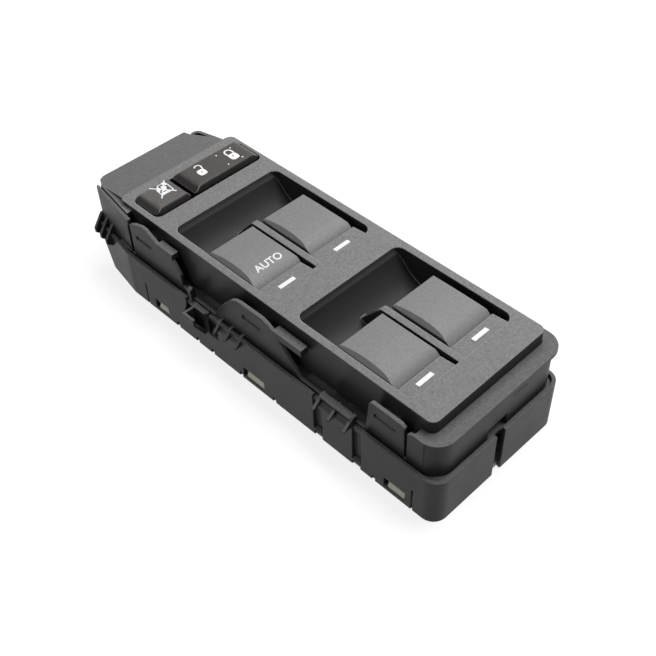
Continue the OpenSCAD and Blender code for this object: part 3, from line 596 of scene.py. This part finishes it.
def crossed_window():
    """A door window crossed out by two long strokes, with its glass half raised."""
    outline = [[-0.3, 3.3], [3.1, 3.6], [3.35, 1.2], [3.0, -3.0], [-2.55, -3.0], [-2.3, 1.0]]
    return [stroke(outline, 0.5, closed=True),
            stroke([[-3.65, 4.6], [3.4, -4.75]], 0.6),
            stroke([[3.9, 4.4], [-4.0, -4.4]], 0.6),
            patch([[-2.4, -0.6], [-1.4, -0.2], [-0.5, 1.2], [-0.7, 3.3], [-2.4, 1.0]]),
            patch([[-0.6, -1.2], [1.0, -1.3], [2.3, 1.0], [0.6, 2.4], [-0.3, 1.0]]),
            patch([[1.5, 2.6], [2.5, 1.4], [3.3, 1.2], [3.1, 3.6], [1.7, 3.5]]),
            patch([[-2.4, -2.9], [1.8, -2.9], [0.7, -1.9], [-1.5, -1.6]])]


make_camera()
bpy.context.scene.view_settings.view_transform = "Standard"
make_world()
make_light()
make_floor()
GRAIN = make_grain_group()
HANDLING = make_handling_group()
LIT_FACE = make_lit_face_group()

# the place at that depth where the bezel's grain and painted light end
GRAIN_AND_LIGHT_FOOT = at(0.0, 0.0, -GRAIN_AND_LIGHT_DEPTH)

# In each finish the side colour is in painted shade, the top colour carries painted light for
# faces that look up, and the edge colour is a painted highlight
FINISHES = {
    "grained_bezel": dict(
        side=(0.023, 0.023, 0.024), top=(0.222, 0.218, 0.217), rough=(0.40, 0.75), depth=0.05,
        ground=GRAIN_AND_LIGHT_FOOT.z, tongue=GRAIN_AND_LIGHT_FOOT.x, edge=0.8, edge_highlight=(0.40, 0.39, 0.39)),
    "satin_housing": dict(
        side=(0.025, 0.026, 0.0255), top=(0.145, 0.143, 0.143), rough=(0.42, 0.7), depth=0.04,
        edge_highlight=(0.24, 0.24, 0.24)),
    "grained_rocker": dict(
        side=(0.085, 0.083, 0.084), top=(0.200, 0.196, 0.195), rough=(0.46, 0.48), depth=0.04,
        facing=(0.25, 0.9), gloss=0.4, speckle=0.14, edge=0.5, edge_highlight=(0.34, 0.335, 0.33)),
    "gloss_button": dict(
        side=(0.006, 0.0055, 0.005), top=(0.070, 0.064, 0.060), rough=(0.24, 0.42), depth=0.02,
        edge=0.9, facing=(0.80, 0.99), gloss=0.2, edge_highlight=(0.27, 0.26, 0.25)),
    "satin_button": dict(
        side=(0.014, 0.013, 0.013), top=(0.115, 0.110, 0.108), rough=(0.3, 0.46), depth=0.02,
        edge=0.9, facing=(0.72, 0.98), gloss=0.2, edge_highlight=(0.27, 0.265, 0.26)),
    "natural_cover": dict(
        side=(0.76, 0.80, 0.66), top=(0.80, 0.84, 0.70), rough=(0.5, 0.5), cells=700.0,
        depth=0.02, edge=0.3),
    "inner_carrier": dict(
        side=(0.020, 0.020, 0.020), top=(0.026, 0.026, 0.026), rough=(0.55, 0.6), cells=700.0,
        depth=0.02, edge=0.3),
    "board_mask": dict(
        side=(0.010, 0.045, 0.022), top=(0.012, 0.06, 0.03), rough=(0.35, 0.35), depth=0.02,
        edge=0.1),
    "switchgear": dict(
        side=(0.016, 0.016, 0.017), top=(0.022, 0.022, 0.022), rough=(0.45, 0.5), depth=0.02,
        edge=0.2),
    "pale_slider": dict(
        side=(0.50, 0.50, 0.47), top=(0.58, 0.58, 0.55), rough=(0.45, 0.5), depth=0.01,
        edge=0.2),
    "plated_contact": dict(
        side=(0.55, 0.42, 0.2), top=(0.66, 0.52, 0.28), rough=(0.3, 0.3), depth=0.004,
        edge=0.05, metal=1.0),
    "white_print": dict(
        side=(0.88, 0.88, 0.88), top=(0.93, 0.93, 0.93), rough=(0.5, 0.5), depth=0.004,
        edge=0.02, speckle=0.02),
}
plastics = {name: moulded(name, **values) for name, values in FINISHES.items()}

# The nodes that wear each finish
WEARERS = {
    "grained_bezel": ["bezel"],
    "satin_housing": ["housing"],
    "natural_cover": ["base_cover"],
    "inner_carrier": ["switch_carrier"],
    "board_mask": ["circuit_board", "board_parts"],
    "grained_rocker": ["driver_window_rocker", "passenger_window_rocker",
                       "rear_window_rocker_near", "rear_window_rocker_far"],
    "gloss_button": ["lock_rocker"],
    "satin_button": ["lockout_button"],
    "pale_slider": ["driver_slide_knob", "passenger_slide_knob", "rear_slide_knob_near",
                    "rear_slide_knob_far", "lock_slide_knob", "board_lamps"],
    "switchgear": ["connector_header", "slide_switch_bodies", "lock_slide_switch",
                   "lockout_switch", "lockout_plunger", "control_chip"],
    "plated_contact": ["connector_pins"],
}
for finish, nodes in WEARERS.items():
    for node in nodes:
        paint(node, plastics[finish])

ink = plastics["white_print"]
driver = pivot("driver_window_rocker_hinge")
printed("auto_word", [letters("AUTO", LETTER_HEIGHT)], rocker_lay(driver, 14.8, 0.1),
        "driver_window_rocker", ink)
printed("crossed_window_icon", crossed_window(), level_lay(12.0, 13.9, BUTTON_TOP),
        "lockout_button", ink)
printed("open_padlock_icon", open_padlock(), level_lay(13.6, 32.6, BUTTON_TOP),
        "lock_rocker", ink)
printed("shut_padlock_icon", shut_padlock(), level_lay(14.4, 48.0, BUTTON_TOP),
        "lock_rocker", ink)
for i, (x, y) in enumerate(BAR_PLACES):
    printed("window_bar_%d" % (i + 1), [plate(BAR_HALF_LENGTH, BAR_HALF_WIDTH)],
            level_lay(x, y, BAR_HEIGHT, LANDING_SLOPE), "base", ink)
